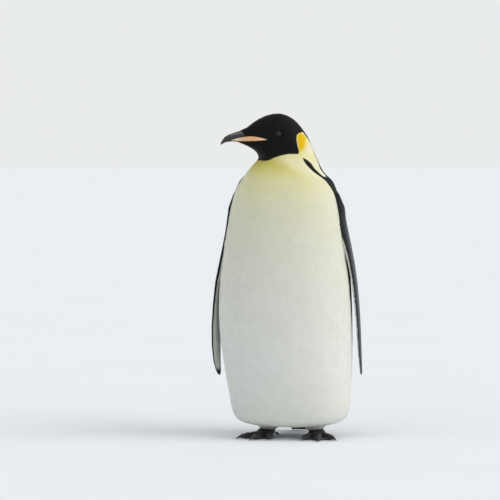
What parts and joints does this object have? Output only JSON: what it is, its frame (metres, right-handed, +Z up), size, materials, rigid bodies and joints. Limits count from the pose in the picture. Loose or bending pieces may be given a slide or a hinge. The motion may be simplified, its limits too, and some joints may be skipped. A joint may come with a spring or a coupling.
{
  "type": "emperor penguin",
  "caption": "Life-size emperor penguin standing upright with its neck drawn in, its flippers hanging and its head turned over its right shoulder.",
  "frame": {"origin": "on the ground, under the middle of the bird's bounding box", "axes": "+Z up; the breast faces -Y; +X is the bird's left; the bill points towards -X and slightly towards -Y"},
  "size_m": [0.4681, 0.3971, 1.003],
  "materials": {
    "black_feathers": "matt black body feathers",
    "cream_feathers": "silky pale yellow body feathers",
    "white_feathers": "silky white body feathers",
    "grey_feathers": "blue-grey scale-like feathers",
    "dark_horn": "satin dark horn of the bill",
    "orange_horn": "satin orange horn plate of the lower bill",
    "eye": "dark brown glossy eye",
    "foot_skin": "black scaly skin",
    "claw_horn": "worn black horn"
  },
  "bodies": {
    "root": {"head": "black_feathers", "neck": "cream_feathers", "breast": "cream_feathers", "belly": "white_feathers", "back": "grey_feathers", "rump": "grey_feathers", "tail": "black_feathers", "upper_bill": "dark_horn", "lower_bill": "dark_horn", "bill_plate_left": "orange_horn", "eye_left": "eye", "flipper_left": "grey_feathers", "leg_left": "white_feathers", "foot_left": "foot_skin", "claw_inner_left": "claw_horn", "claw_middle_left": "claw_horn", "claw_outer_left": "claw_horn", "claw_hind_left": "claw_horn", "bill_plate_right": "orange_horn", "eye_right": "eye", "flipper_right": "grey_feathers", "leg_right": "white_feathers", "foot_right": "foot_skin", "claw_inner_right": "claw_horn", "claw_middle_right": "claw_horn", "claw_outer_right": "claw_horn", "claw_hind_right": "claw_horn"}
  },
  "joints": []
}
